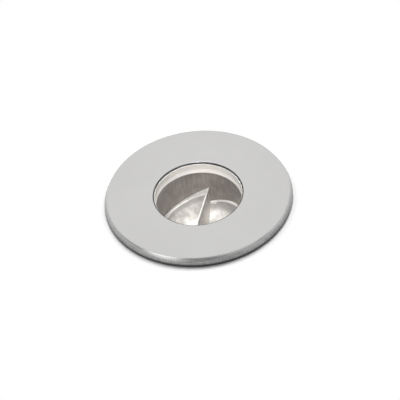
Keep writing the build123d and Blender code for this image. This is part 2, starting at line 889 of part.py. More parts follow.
# Cable gland: body, washer, locknut, rubber seal and domed nut
gland_inner = gland_thread_radius - gland_wall
gland_seat = gland_hex_foot - gland_nut_height * gland_seat_share
gland_locknut_top = housing_foot + gland_locknut_height
with BuildPart() as gland_body:
    with BuildSketch(Plane.XY.offset(gland_seat)):
        Circle(gland_thread_radius)
    extrude(amount=gland_locknut_top + seat_gap - gland_seat)
    with BuildSketch(Plane.XY.offset(gland_hex_foot)):
        RegularPolygon(radius=gland_hex_radius, side_count=6, major_radius=False)
    extrude(amount=gland_hex_height)
    with BuildSketch(Plane.XY.offset(gland_seat)):
        Circle(gland_inner)
    extrude(amount=gland_locknut_top + seat_gap - gland_seat, mode=Mode.SUBTRACT)
gland_body.part.label = "gland_body"

gland_washer = annulus(
    gland_thread_radius + seat_gap,
    gland_hex_radius - seat_gap,
    gland_washer_foot,
    cover_foot,
)
gland_washer.part.label = "gland_washer"

with BuildPart() as gland_locknut:
    with BuildSketch(Plane.XY.offset(housing_foot)):
        RegularPolygon(radius=gland_locknut_radius, side_count=6, major_radius=False)
        Circle(gland_thread_radius + seat_gap, mode=Mode.SUBTRACT)
    extrude(amount=gland_locknut_height)
gland_locknut.part.label = "gland_locknut"

nut_inner = gland_thread_radius + seat_gap
nut_outer = nut_inner + gland_nut_wall
nut_mouth = gland_bore + gland_wall
seal_foot = gland_foot + gland_wall
with BuildPart() as gland_nut:
    with BuildSketch(Plane.XY.offset(gland_seat - seat_gap)):
        RegularPolygon(radius=nut_outer, side_count=6, major_radius=False)
    extrude(amount=gland_hex_foot - gland_seat)
    with BuildSketch(upright):
        with BuildLine():
            Line((0, gland_foot), (gland_dome_radius, gland_foot))
            Line((gland_dome_radius, gland_foot), (nut_outer, gland_seat - seat_gap))
            Line((nut_outer, gland_seat - seat_gap), (0, gland_seat - seat_gap))
            Line((0, gland_seat - seat_gap), (0, gland_foot))
        make_face()
    revolve(axis=Axis.Z)
    with BuildSketch(Plane.XY.offset(gland_seat - seat_gap)):
        Circle(nut_inner)
    extrude(amount=gland_hex_foot - gland_seat, mode=Mode.SUBTRACT)
    with BuildSketch(Plane.XY.offset(seal_foot)):
        Circle(gland_inner - seat_gap)
    extrude(amount=gland_hex_foot - seal_foot, mode=Mode.SUBTRACT)
    with BuildSketch(Plane.XY.offset(gland_foot)):
        Circle(nut_mouth - seat_gap)
    extrude(amount=gland_hex_foot - gland_foot, mode=Mode.SUBTRACT)
gland_nut.part.label = "gland_nut"

gland_seal = annulus(
    gland_bore,
    gland_inner - 2 * seat_gap,
    seal_foot + seat_gap,
    gland_washer_foot,
)
gland_seal.part.label = "gland_seal"

# Buried sleeve with a rebated rim, anchor ribs and two conduit entries
entry_height = base_top + entry_rise + entry_radius
ledge_foot = ledge_top - sleeve_ledge
rim_bore = flange_radius + sleeve_rim_gap
entry_side =Plane(origin=(0, 0, entry_height), x_dir=(0, 1, 0), z_dir=(1, 0, 0))
with BuildPart() as ground_sleeve:
    with BuildSketch(Plane.XY.offset(base_top)):
        Circle(sleeve_outer)
        with PolarLocations(0, rib_count, start_angle=rib_first_angle):
            Rectangle(rib_radius, rib_width, align=(Align.MIN, Align.CENTER))
    extrude(amount=ledge_foot - base_top)
    with BuildSketch(Plane.XY.offset(ledge_foot)):
        Circle(sleeve_rim_radius)
    extrude(amount=sleeve_top - ledge_foot)
    fillet(ground_sleeve.faces().sort_by(Axis.Z)[-1].edges(), radius=ring_edge_radius)
    with BuildSketch(entry_side.offset(-entry_reach)):
        Circle(entry_radius + entry_wall)
    extrude(amount=2 * entry_reach)
    for side in (-1, 1):
        with BuildSketch(entry_side.offset(side * (entry_reach - entry_wall / 2))):
            Circle(entry_radius + entry_wall + entry_rib_height)
        extrude(amount=entry_wall / 2, both=True)
    with BuildSketch(Plane.XY.offset(base_top)):
        Circle(sleeve_radius)
    extrude(amount=sleeve_top - base_top, mode=Mode.SUBTRACT)
    with BuildSketch(Plane.XY.offset(ledge_top)):
        Circle(rim_bore)
    extrude(amount=sleeve_top - ledge_top, mode=Mode.SUBTRACT)
    with BuildSketch(entry_side.offset(-entry_reach - cut_overrun)):
        Circle(entry_radius)
    extrude(amount=2 * (entry_reach + cut_overrun), mode=Mode.SUBTRACT)
    with Locations(bolt_circle(base_screw_circle, rib_count // 2, -rib_first_angle, face_down(0))):
        add(screw_hole(base_screw_length).part, mode=Mode.SUBTRACT)
ground_sleeve.part.label = "ground_sleeve"

# Drain base with a centre hole for the cable, drain slots and a spigot
with BuildPart() as drain_base:
    with BuildSketch(Plane.XY):
        Circle(rib_radius)
        Circle(base_centre_radius, mode=Mode.SUBTRACT)
        with PolarLocations(drain_circle, drain_count):
            SlotCenterToCenter(drain_reach, 2 * drain_radius, mode=Mode.SUBTRACT)
    extrude(amount=base_height)
    with BuildSketch(Plane.XY.offset(base_height)):
        Circle(sleeve_radius - face_gap)
        Circle(sleeve_radius - face_gap - base_spigot_wall, mode=Mode.SUBTRACT)
    extrude(amount=base_spigot)
    with Locations(bolt_circle(base_screw_circle, rib_count // 2, -rib_first_angle, face_down(0))):
        add(screw_hole(base_screw_length).part, mode=Mode.SUBTRACT)
    with BuildSketch(entry_side.offset(-entry_reach - cut_overrun)):
        Circle(entry_radius + plug_head_over + face_gap)
    extrude(amount=2 * (entry_reach + cut_overrun), mode=Mode.SUBTRACT)
drain_base.part.label = "drain_base"

with BuildPart() as base_screws:
    with Locations(bolt_circle(base_screw_circle, rib_count // 2, -rib_first_angle, face_down(0))):
        add(countersunk_screw(base_screw_length).part)
base_screws.part.label = "base_screws"

# Rubber plug in the conduit entry that isn't used
with BuildPart() as entry_plug:
    with BuildSketch(entry_side.offset(-entry_reach)):
        Circle(entry_radius + plug_head_over)
    extrude(amount=-plug_head)
    with BuildSketch(entry_side.offset(-entry_reach)):
        Circle(entry_radius - seat_gap)
    extrude(amount=plug_depth)
    with BuildSketch(entry_side.offset(-entry_reach)):
        Circle(entry_radius - plug_wall)
    extrude(amount=plug_depth, mode=Mode.SUBTRACT)
entry_plug.part.label = "entry_plug"

pieces = [
    trim_ring,
    lens_bead,
    lens_collar,
    glass_lens,
    clamp_frame,
    clamp_screws,
    snap_cord,
    rim_seal,
    lamp_housing,
    retaining_springs,
    spring_screws,
    turntable,
    thermal_pad,
    led_board,
    optic_screws,
    glare_tube,
    reflector,
    led_packages,
    led_domes,
    driver_board,
    driver_standoffs,
    driver_screws,
    driver_transformer,
    driver_capacitors,
    terminal_block,
    terminal_screws,
    lead_positive,
    lead_negative,
    back_cover,
    cover_seal,
    cover_screws,
    vent_plug,
    gland_body,
    gland_washer,
    gland_locknut,
    gland_nut,
    gland_seal,
    ground_sleeve,
    drain_base,
    base_screws,
    entry_plug,
]
for piece in pieces:
    export_step(piece.part, f"parts/{piece.part.label}.step")

print("height", round(ring_top, 2), "ground level", round(ring_foot, 2), "sleeve ledge", round(ledge_top, 2))
print("light sources at", [round(v, 2) for v in (*high_lamp, *low_lamp)])
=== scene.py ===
import json
from math import cos, pi, radians, sin

import bpy
import numpy as np
from mathutils import Matrix, Vector


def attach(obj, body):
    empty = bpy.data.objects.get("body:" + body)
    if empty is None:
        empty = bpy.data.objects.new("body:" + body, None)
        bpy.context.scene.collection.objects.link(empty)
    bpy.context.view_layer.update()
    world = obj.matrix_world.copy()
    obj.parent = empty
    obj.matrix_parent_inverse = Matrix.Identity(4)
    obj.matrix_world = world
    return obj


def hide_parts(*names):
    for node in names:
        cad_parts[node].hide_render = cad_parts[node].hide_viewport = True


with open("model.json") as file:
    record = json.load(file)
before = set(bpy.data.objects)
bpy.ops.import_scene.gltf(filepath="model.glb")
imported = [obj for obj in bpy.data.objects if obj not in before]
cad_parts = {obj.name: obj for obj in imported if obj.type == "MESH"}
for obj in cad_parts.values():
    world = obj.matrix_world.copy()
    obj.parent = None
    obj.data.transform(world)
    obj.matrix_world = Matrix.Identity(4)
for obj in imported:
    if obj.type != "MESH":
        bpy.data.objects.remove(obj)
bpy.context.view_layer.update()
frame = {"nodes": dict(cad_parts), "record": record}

# In-ground light: a steel cover ring and a flush clear lens over a deep glare tube with a stepped
# reflector, on a lamp housing that stands in a buried sleeve. Lengths are millimetres unless metres
# are named, angles are degrees, radii are about the lamp's upright Z axis, and heights are from the
# foot of the sleeve.

mm = 0.001

# Cover ring
ring_radius = 45.0
opening_radius = 21.7
ring_top = 101.0
plate_foot = 99.0
ring_foot = 96.3
land_radius = 41.8
land_height = 0.3
recess_radius = 36.0
bevel_width = 1.4
bevel_height = 3.2
edge_round = 0.22
foot_round = 0.15
ring_segments = 384

# The bevel's bulge: its height, and the share of the bevel's width between which it has points
bevel_bulge = 0.12
bulge_start = 0.14
bulge_end = 0.86
bulge_points = 9

# Where the bevel's finish and its painted darker tone, which is painted shade, fade in beyond the top's edge,
# and where its wear marks fade round the top of the upright side
bevel_fade_start = 0.1
bevel_fade_end = 0.3
side_fade = 0.3

# Bead and collar in the mouth of the ring
bead_inner = 21.1
bead_outer = 21.65
bead_top = 100.7
bead_height = 0.4
bead_foot_round = 0.1
bead_top_round = 0.18
lens_foot = 95.5
collar_bore = 20.9
collar_outer = 21.55
collar_lip_bore = 20.5
collar_lip_rise = 1.6
collar_lip_edge = 0.12
collar_flange_radius = 25.5
collar_flange_top = 96.65
collar_top = 100.25
head_top = 95.05
collar_foot_round = 0.03
collar_flange_round = 0.15
collar_corner_round = 0.1
collar_top_round = 0.12
collar_slope_round = 0.2
collar_lip_round = 0.05
small_hold = 0.02

# Stepped reflector, from the light board to the glare tube's top
tube_top = 94.9
board_top = 67.0
reflector_radius = 20.4
bowl_floor = 68.5
aperture_radius = 2.6
mouth_chamfer = 0.12
low_lamp = (8.67, -2.0)
step_angle = 77.7
step_offset = 1.27
fin_thickness = 0.7
step_overlap = 0.35
high_rim_drop = 4.3
high_rim_tilt = 31.6
high_rim_facing = 140.0
high_bowl_rim_edge = 1.94
high_bowl_rim_out = 5.66
high_bowl_rim_angle = 133.6
low_rim_drop = 17.9
low_rim_tilt = 20.6
low_rim_facing = 160.8
low_bowl_radius = 19.3
low_bowl_depth = 9.0
lip_round = 0.22

# The most that a rounding takes of the rim's land and of the outer wall, and how many roundings the
# bowl's last point lies before a lip that hardly rises
land_share = 0.45
wall_share = 0.3
joint_rounds = 3

# The reflector's grid: rays about each light source, and points along each ray
ray_turns = 432
ray_neighbour = 0.12
angle_digits = 7
crossing_samples = 600
bowl_steps = 34
bowl_crowding = 0.85
climb_steps = 6
curve_steps = 6
flat_steps = 5
wall_steps = 5

# The reflector's zones, which its finish reads: outer wall, bowl, bowl beside a lip, painted darker there as
# painted shade, and lip
wall_zone = -1.0
bowl_zone = 0.0
near_lip_zone = 1.0
lip_zone = 2.0
near_lip_start = 0.84
near_lip_width = 0.14

# Camera: its distance is in metres, and its aim is off the middle of the ring's top
camera_lens = 567.0
sensor_width = 36.0
camera_distance = 3.0
camera_elevation = radians(43.9)
camera_roll = radians(6.4)
aim_right = 0.9
aim_down = 3.05

# Ground slab
slab_half_width = 54.0
slab_run = 98.0
slab_thickness = 3.0
slab_undercut = 3.7
slab_hole = 41.7
slab_sink = 0.02
slab_segments = 192

# Studio: the levels of the sky low and high up, the elevations between which it rises, and those
# between which the floor ends
sky_levels = (0.2, 0.6)
sky_rise = (2.0, 30.0)
horizon = (1.2, 2.2)

# The share of the sky and of the floor that plain surfaces get
fill_share = 0.4
floor_share = 0.5

# The sky's soft panels: azimuth, elevation, inner and outer angle from the middle, and level
sky_panels = (
    (90, 44, 12, 60, 0.4),
    (-136, 5, 6, 25, 2.1),
    (8, 6, 8, 30, 0.9),
    (-38, 27, 12, 40, 0.55),
    (160, 38, 8, 26, 0.6),
)

# Key panels, with their distance in metres: name, azimuth, elevation and share of white
panel_distance = 3.0
panel_half_angle = 13.0
key_panels = (
    ("key_panel_back", 84, 58, 0.55),
    ("key_panel_left", 142, 46, 0.16),
    ("key_panel_right", 38, 46, 0.13),
)

# Spot into the well, in metres and watts
spot_place = (-0.093, -0.511, 1.03)
spot_cone = 3.0
spot_blend = 0.3
spot_source = 0.012
spot_power = 46.0


# ---------------------------------------------------------------- meshes


def placed(name, data):
    """A new object in the scene with the data given."""
    made = bpy.data.objects.new(name, data)
    bpy.context.scene.collection.objects.link(made)
    return made


def mesh_piece(name, points, faces, body, stands_for, slot_name):
    """Makes a smooth-shaded piece from an array of points in millimetres and rows of corner numbers."""
    mesh = bpy.data.meshes.new(name)
    mesh.from_pydata((np.asarray(points) * mm).tolist(), [], faces)
    mesh.polygons.foreach_set("use_smooth", np.ones(len(mesh.polygons), dtype=bool))
    mesh.materials.append(finishes[slot_name])
    mesh.update()
    piece = placed(name, mesh)
    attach(piece, body)
    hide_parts(*stands_for)
    return piece


def closed_grid_faces(turns, count, start=0, flipped=False):
    """Corner numbers of a grid that closes on itself both ways, as turns of count points each."""
    row = np.arange(turns)[:, None]
    column = np.arange(count)[None, :]
    next_row = (row + 1) % turns
    next_column = (column + 1) % count
    corners = [
        row * count + column,
        next_row * count + column,
        next_row * count + next_column,
        row * count + next_column,
    ]
    if flipped:
        corners[1], corners[3] = corners[3], corners[1]
    return start + np.stack(corners, axis=-1).reshape(-1, 4)


def rounded(corners, steps=5, hold=0.04):
    """A closed outline of (radius, height) corners, each given with the radius that rounds it.

    A corner becomes an arc of a circle tangent to both its sides: the tangent length is the round
    times the cotangent of half the corner's angle. One more point just outside each end of the arc
    keeps the flat sides flat when the shading is smooth.
    """
    places = np.array([c[:2] for c in corners], dtype=float)
    rounds = np.array([c[2] for c in corners], dtype=float)
    before = np.roll(places, 1, axis=0) - places
    after = np.roll(places, -1, axis=0) - places
    length_before = np.linalg.norm(before, axis=1)
    length_after = np.linalg.norm(after, axis=1)
    before /= length_before[:, None]
    after /= length_after[:, None]
    half = np.arccos(np.clip((before * after).sum(axis=1), -1, 1)) / 2
    tangent = rounds / np.tan(half)
    middle = before + after
    middle /= np.linalg.norm(middle, axis=1)[:, None]
    centre = places + middle * (rounds / np.sin(half))[:, None]
    start = places + before * tangent[:, None] - centre
    end = places + after * tangent[:, None] - centre
    share = np.linspace(0, 1, steps)[None, :, None]
    turn = (pi - 2 * half)[:, None, None]
    arc = (np.sin((1 - share) * turn) * start[:, None] + np.sin(share * turn) * end[:, None]) / np.sin(turn)
    arc += centre[:, None]
    first = places + before * (tangent + hold)[:, None]
    last = places + after * (tangent + hold)[:, None]
    return np.concatenate([first[:, None], arc, last[:, None]], axis=1).reshape(-1, 2)


def counterclockwise(outline):
    """The outline, turned round if need be, so that its material lies on the left of its path."""
    r, z = outline[:, 0], outline[:, 1]
    area = (r * np.roll(z, -1) - np.roll(r, -1) * z).sum()
    return outline if area > 0 else outline[::-1]


def turned(name, outline, body, stands_for, slot_name, segments=288):
    """A closed outline revolved about the Z axis: point (r, z) goes to (r cos a, r sin a, z)."""
    outline = counterclockwise(outline)
    angle = np.arange(segments) * (2 * pi / segments)
    count = len(outline)
    points = np.stack(
        [
            np.outer(np.cos(angle), outline[:, 0]),
            np.outer(np.sin(angle), outline[:, 0]),
            np.broadcast_to(outline[:, 1], (segments, count)),
        ],
        axis=-1,
    ).reshape(-1, 3)
    faces = closed_grid_faces(segments, count)
    return mesh_piece(name, points, faces.tolist(), body, stands_for, slot_name)


# ---------------------------------------------------------------- materials


class Calls:
    """Short calls that add nodes to a node tree."""

    def __init__(self, tree):
        self.nodes = tree.nodes
        self.links = tree.links

    def join(self, source, target):
        """Links one socket to another, or writes a plain value on it."""
        if isinstance(source, bpy.types.NodeSocket):
            self.links.new(source, target)
        else:
            target.default_value = source

    def math(self, kind, first, second=0.0):
        """A Math node on two sockets or numbers."""
        made = self.nodes.new("ShaderNodeMath")
        made.operation = kind
        self.join(first, made.inputs[0])
        self.join(second, made.inputs[1])
        return made.outputs[0]

    def spread(self, value, low, high, out_low=0.0, out_high=1.0):
        """Maps a value smoothly from one range to another."""
        made = self.nodes.new("ShaderNodeMapRange")
        made.interpolation_type = "SMOOTHSTEP"
        for given, key in (
            (value, "Value"),
            (low, "From Min"),
            (high, "From Max"),
            (out_low, "To Min"),
            (out_high, "To Max"),
        ):
            self.join(given, made.inputs[key])
        return made.outputs[0]


class Finish(Calls):
    """A material with one Principled shader, and short calls that add nodes to it."""

    def __init__(self, name, color, roughness, metallic=0.0):
        self.material = bpy.data.materials.new(name)
        self.material.use_nodes = True
        super().__init__(self.material.node_tree)
        self.shader = self.nodes["Principled BSDF"]
        self.shader.inputs["Base Color"].default_value = (*color, 1)
        self.shader.inputs["Roughness"].default_value = roughness
        self.shader.inputs["Metallic"].default_value = metallic
        self.place = self.nodes.new("ShaderNodeTexCoord").outputs["Object"]

    def stretched(self, factors):
        """The object's coordinates, stretched by a factor on each axis."""
        made = self.nodes.new("ShaderNodeMapping")
        made.inputs["Scale"].default_value = factors
        self.links.new(self.place, made.inputs["Vector"])
        return made.outputs[0]

    def around_axis(self, turns, outward, upward):
        """Coordinates about the Z axis, as angle, radius and height times a factor each.

        The radius and the height in metres are handed back too.
        """
        split = self.nodes.new("ShaderNodeSeparateXYZ")
        self.links.new(self.place, split.inputs[0])
        x, y, z = split.outputs
        radius = self.math("SQRT", self.math("ADD", self.math("MULTIPLY", x, x), self.math("MULTIPLY", y, y)))
        merged = self.nodes.new("ShaderNodeCombineXYZ")
        self.join(self.math("MULTIPLY", self.math("ARCTAN2", y, x), turns), merged.inputs[0])
        self.join(self.math("MULTIPLY", radius, outward), merged.inputs[1])
        self.join(self.math("MULTIPLY", z, upward), merged.inputs[2])
        return merged.outputs[0], radius, z

    def noise(self, scale, detail=3.0, roughness=0.5, coordinates=None):
        """Fractal noise from 0 to 1 on the object's coordinates, or on those given."""
        made = self.nodes.new("ShaderNodeTexNoise")
        made.inputs["Scale"].default_value = scale
        made.inputs["Detail"].default_value = detail
        made.inputs["Roughness"].default_value = roughness
        self.links.new(self.place if coordinates is None else coordinates, made.inputs["Vector"])
        return made.outputs[0]

    def tint(self, share, first, second):
        """A colour between two, each a colour or a socket, by a share from 0 to 1."""
        made = self.nodes.new("ShaderNodeMix")
        made.data_type = "RGBA"
        self.join(share, made.inputs[0])
        for tone, target in ((first, made.inputs[6]), (second, made.inputs[7])):
            self.join(tone if isinstance(tone, bpy.types.NodeSocket) else (*tone, 1), target)
        return made.outputs[2]

    def color(self, socket):
        """Links a socket to the shader's base colour."""
        self.links.new(socket, self.shader.inputs["Base Color"])

    def roughness(self, socket):
        """Links a socket to the shader's roughness."""
        self.links.new(socket, self.shader.inputs["Roughness"])

    def relief(self, height, depth, strength=1.0):
        """Bump of the given depth in millimetres; a second call adds to the first."""
        made = self.nodes.new("ShaderNodeBump")
        made.inputs["Strength"].default_value = strength
        made.inputs["Distance"].default_value = depth * mm
        self.links.new(height, made.inputs["Height"])
        if self.shader.inputs["Normal"].is_linked:
            self.links.new(self.shader.inputs["Normal"].links[0].from_socket, made.inputs["Normal"])
        self.links.new(made.outputs[0], self.shader.inputs["Normal"])


def plain_part(name, dark, light, rough, rough_spread, grain, depth, metallic=0.0):
    """A finish with cloudy colour between two tones, uneven roughness and a fine grain in relief."""
    made = Finish(name, light, rough, metallic)
    cloud = made.noise(60.0, 4.0, 0.6)
    made.color(made.tint(cloud, dark, light))
    uneven = made.noise(grain * 0.4, 3.0)
    made.roughness(made.spread(uneven, 0.2, 0.8, rough - rough_spread, rough + rough_spread))
    made.relief(made.noise(grain, 3.0, 0.6), depth)
    return made


def turned_steel():
    """Cover ring: fine turned lines on the top, and a bevel with lines and short marks, whose tone is painted
    shade and painted reflection: darker than the top, darkest at its foot and on the upright side.
    """
    made = Finish("turned_steel", (0.62, 0.62, 0.615), 0.34, 1.0)
    lathe, radius, height = made.around_axis(1.2, 5200.0, 900.0)
    lines = made.noise(1.0, 3.0, 0.6, lathe)
    along_rim, _, _ = made.around_axis(3.0, 500.0, 2600.0)
    grooves = made.noise(1.0, 4.0, 0.6, along_rim)
    across_rim, _, _ = made.around_axis(110.0, 0.0, 260.0)
    marks = made.noise(1.0, 3.0, 0.5, across_rim)
    cloud = made.noise(45.0, 4.0, 0.55)

    bevel_edge = ring_radius - bevel_width
    side_top = ring_top - bevel_height
    on_bevel = made.spread(radius, (bevel_edge + bevel_fade_start) * mm, (bevel_edge + bevel_fade_end) * mm)
    top_tone = made.tint(cloud, (0.61, 0.606, 0.599), (0.66, 0.656, 0.649))
    # Painted shade: the bevel's tone is painted darkest at its foot and on the upright side below it, and
    # lighter upwards, standing in for the dark floor and shadow that it mirrors.
    painted_shade_fade_up = made.spread(height, side_top * mm, ring_top * mm, 0.0, 0.6)
    worn = made.math(
        "ADD",
        made.spread(grooves, 0.3, 0.7, 0.0, 0.28),
        made.spread(marks, 0.35, 0.65, 0.0, 0.26),
    )
    above_side = made.spread(height, (side_top - side_fade) * mm, (side_top + side_fade) * mm)
    worn = made.math("MULTIPLY", worn, above_side)
    # Both of the bevel's tones are painted shade and painted reflection, darker than the top's steel; the
    # wear marks lighten them.
    bevel_wear_and_painted_shade = made.tint(made.math("ADD", painted_shade_fade_up, worn), (0.13, 0.13, 0.13), (0.52, 0.52, 0.515))
    made.color(made.tint(on_bevel, top_tone, bevel_wear_and_painted_shade))

    top_rough = made.spread(lines, 0.2, 0.8, 0.27, 0.33)
    bevel_rough = made.spread(grooves, 0.25, 0.75, 0.24, 0.36)
    made.roughness(made.math(
        "ADD",
        made.math("MULTIPLY", top_rough, made.math("SUBTRACT", 1.0, on_bevel)),
        made.math("MULTIPLY", bevel_rough, on_bevel),
    ))
    made.relief(lines, 0.002, 0.5)
    made.relief(grooves, 0.012, 0.5)
    return made.material


def fastener_steel():
    """Screws and springs: plain steel with fine lines across their height."""
    made = Finish("fastener_steel", (0.56, 0.56, 0.555), 0.3, 1.0)
    made.color(made.tint(made.noise(180.0, 4.0, 0.6), (0.48, 0.48, 0.48), (0.62, 0.62, 0.61)))
    made.roughness(made.spread(made.noise(900.0, 3.0), 0.2, 0.8, 0.24, 0.4))
    made.relief(made.noise(1.0, 3.0, 0.5, made.stretched((900, 900, 7000))), 0.01, 0.5)
    return made.material


def pale_silicone():
    """Collar: pale, slightly translucent rubber."""
    made = Finish("pale_silicone", (0.86, 0.84, 0.78), 0.5)
    made.color(made.tint(made.noise(70.0, 4.0), (0.87, 0.83, 0.79), (0.92, 0.89, 0.86)))
    made.roughness(made.spread(made.noise(1400.0), 0.2, 0.8, 0.44, 0.58))
    made.relief(made.noise(1800.0, 3.0), 0.012, 0.6)
    made.shader.inputs["Subsurface Weight"].default_value = 0.1
    made.shader.inputs["Subsurface Radius"].default_value = (0.6, 0.5, 0.4)
    made.shader.inputs["Subsurface Scale"].default_value = 1.0 * mm
    return made.material


def clear_glass():
    """Lens: what is seen through it isn't bent. Its outer faces mirror by Fresnel, with faint dust."""
    made = Finish("clear_glass", (1, 1, 1), 0.02)
    nodes, links = made.nodes, made.links
    mirror = nodes.new("ShaderNodeBsdfAnisotropic")
    mirror.inputs["Color"].default_value = (1, 1, 1, 1)
    dust = made.spread(made.noise(800.0, 5.0, 0.7), 0.45, 0.75, 0.015, 0.09)
    links.new(dust, mirror.inputs["Roughness"])
    clear = nodes.new("ShaderNodeBsdfTransparent")
    clear.inputs["Color"].default_value = (0.99, 0.99, 0.986, 1)
    facing = nodes.new("ShaderNodeFresnel")
    facing.inputs["IOR"].default_value = 1.45
    side = nodes.new("ShaderNodeNewGeometry").outputs["Backfacing"]
    both = nodes.new("ShaderNodeMixShader")
    links.new(made.math("MULTIPLY", facing.outputs[0], made.math("SUBTRACT", 1.0, side)), both.inputs[0])
    links.new(clear.outputs[0], both.inputs[1])
    links.new(mirror.outputs[0], both.inputs[2])
    nodes.remove(made.shader)
    links.new(both.outputs[0], nodes["Material Output"].inputs["Surface"])
    return made.material


def cast_aluminium():
    """Housing, frame, turntable and cover: a blasted casting."""
    made = Finish("cast_aluminium", (0.5, 0.5, 0.51), 0.5, 1.0)
    made.color(made.tint(made.noise(120.0, 5.0, 0.6), (0.42, 0.42, 0.43), (0.55, 0.55, 0.56)))
    made.roughness(made.spread(made.noise(2400.0), 0.2, 0.8, 0.42, 0.62))
    made.relief(made.noise(2600.0, 4.0, 0.65), 0.05, 0.8)
    return made.material


def dark_anodised():
    """Glare tube: dark brownish-grey satin with faint turned lines and upright streaks."""
    made = Finish("dark_anodised", (0.25, 0.225, 0.2), 0.42, 0.2)
    lathe, _, _ = made.around_axis(1.5, 1800.0, 5200.0)
    lines = made.noise(1.0, 3.0, 0.6, lathe)
    drawn_at, _, _ = made.around_axis(26.0, 0.0, 90.0)
    drawn = made.math("MULTIPLY", made.noise(1.0, 4.0, 0.6, drawn_at), made.noise(160.0, 4.0, 0.6))
    made.color(made.tint(made.spread(drawn, 0.15, 0.38), (0.2, 0.176, 0.158), (0.31, 0.28, 0.255)))
    made.roughness(made.spread(lines, 0.2, 0.8, 0.36, 0.5))
    made.relief(lines, 0.006, 0.6)
    return made.material


def bright_reflector():
    """Reflector: pale satin metal, mottled from pressing, painted darker in the bowl beside each lip as
    painted shade and painted reflection of the dark tube, with paler lips and plain outer walls.
    """
    made = Finish("bright_reflector", (0.84, 0.83, 0.81), 0.36, 0.5)
    attribute = made.nodes.new("ShaderNodeAttribute")
    attribute.attribute_name = "lip_zone"
    zone = attribute.outputs["Fac"]
    on_lip = made.spread(zone, near_lip_zone, lip_zone)
    # Painted shade: the bowl's tone is cut to a quarter in the rows beside each lip, standing in for the
    # lip's shadow and the dark tube mirrored there.
    lip_painted_shade = made.spread(zone, bowl_zone, near_lip_zone, 1.0, 0.25)
    on_wall = made.spread(zone, wall_zone, bowl_zone, 1.0, 0.0)

    mottle = made.spread(made.noise(300.0, 3.0, 0.6), 0.3, 0.7, 0.4, 1.0)
    bowl_tone = made.tint(made.math("MULTIPLY", mottle, lip_painted_shade), (0.38, 0.36, 0.345), (0.86, 0.84, 0.815))
    lip_mottle = made.spread(made.noise(240.0, 4.0, 0.6), 0.35, 0.65)
    lip_tone = made.tint(lip_mottle, (0.72, 0.7, 0.675), (0.88, 0.865, 0.84))
    made.color(made.tint(on_wall, made.tint(on_lip, bowl_tone, lip_tone), (0.64, 0.61, 0.59)))
    made.join(made.spread(zone, wall_zone, lip_zone, 0.75, 0.2), made.shader.inputs["Metallic"])
    made.roughness(made.spread(made.noise(520.0, 3.0), 0.2, 0.8, 0.52, 0.66))
    made.relief(made.noise(330.0, 2.0, 0.5), 0.1, 0.8)
    made.relief(made.noise(1500.0, 3.0, 0.6), 0.02, 0.6)
    return made.material


def source_yellow():
    """Domes over the light sources: yellow under a clear glossy face."""
    made = plain_part("source_yellow", (0.78, 0.56, 0.14), (0.88, 0.7, 0.24), 0.12, 0.04, 1200.0, 0.004)
    made.shader.inputs["Coat Weight"].default_value = 1.0
    made.shader.inputs["Coat Roughness"].default_value = 0.03
    return made.material


def black_plastic():
    """Sleeve, base and gland: moulded, with a spark texture, upright scuffs and traces of dry soil."""
    made = Finish("black_plastic", (0.045, 0.045, 0.047), 0.5)
    base = made.tint(made.noise(55.0, 5.0, 0.65), (0.026, 0.026, 0.028), (0.06, 0.06, 0.062))
    upright_lines = made.noise(1.0, 4.0, 0.7, made.stretched((620, 620, 34)))
    scuffs = made.math("MULTIPLY", upright_lines, made.noise(70.0, 3.0, 0.6))
    scuffed = made.spread(scuffs, 0.25, 0.45, 0.0, 0.5)
    soil = made.math(
        "ADD",
        made.spread(made.noise(120.0, 7.0, 0.8), 0.53, 0.72, 0.0, 0.5),
        made.spread(made.noise(900.0, 4.0, 0.7), 0.62, 0.72, 0.0, 0.35),
    )
    made.color(made.tint(soil, made.tint(scuffed, base, (0.15, 0.15, 0.15)), (0.2, 0.16, 0.12)))
    made.roughness(made.spread(made.math("ADD", made.noise(1900.0, 4.0), soil), 0.3, 1.1, 0.36, 0.75))
    made.relief(made.noise(1500.0, 4.0, 0.7), 0.09, 0.9)
    made.relief(scuffed, 0.02, 0.6)
    return made.material


# Plain finishes: dark and light tone, roughness and its spread, grain, depth and any metal
plain_finishes = {
    "black_rubber": ((0.017, 0.017, 0.018), (0.034, 0.034, 0.034), 0.62, 0.1, 2600.0, 0.03),
    "white_board": ((0.74, 0.74, 0.72), (0.82, 0.82, 0.8), 0.35, 0.06, 1500.0, 0.01),
    "green_board": ((0.03, 0.16, 0.06), (0.05, 0.23, 0.09), 0.32, 0.06, 1500.0, 0.012),
    "source_white": ((0.74, 0.73, 0.68), (0.82, 0.81, 0.77), 0.4, 0.06, 1800.0, 0.008),
    "grey_pad": ((0.36, 0.38, 0.41), (0.44, 0.46, 0.48), 0.7, 0.08, 1600.0, 0.03),
    "ferrite": ((0.075, 0.068, 0.066), (0.13, 0.118, 0.11), 0.45, 0.1, 1500.0, 0.04),
    "capacitor_can": ((0.54, 0.54, 0.56), (0.64, 0.64, 0.66), 0.3, 0.06, 1800.0, 0.01, 1.0),
    "terminal_green": ((0.045, 0.25, 0.1), (0.07, 0.33, 0.15), 0.35, 0.07, 1500.0, 0.015),
    "plain_brass": ((0.62, 0.47, 0.2), (0.74, 0.59, 0.28), 0.3, 0.07, 1600.0, 0.01, 1.0),
    "red_lead": ((0.48, 0.024, 0.016), (0.58, 0.04, 0.028), 0.38, 0.06, 1500.0, 0.01),
    "black_lead": ((0.014, 0.014, 0.014), (0.03, 0.03, 0.03), 0.38, 0.06, 1500.0, 0.01),
}
finishes = {
    "stainless": turned_steel(),
    "fastener_steel": fastener_steel(),
    "pale_silicone": pale_silicone(),
    "clear_glass": clear_glass(),
    "cast_aluminium": cast_aluminium(),
    "dark_anodised": dark_anodised(),
    "bright_reflector": bright_reflector(),
    "source_yellow": source_yellow(),
    "black_plastic": black_plastic(),
}
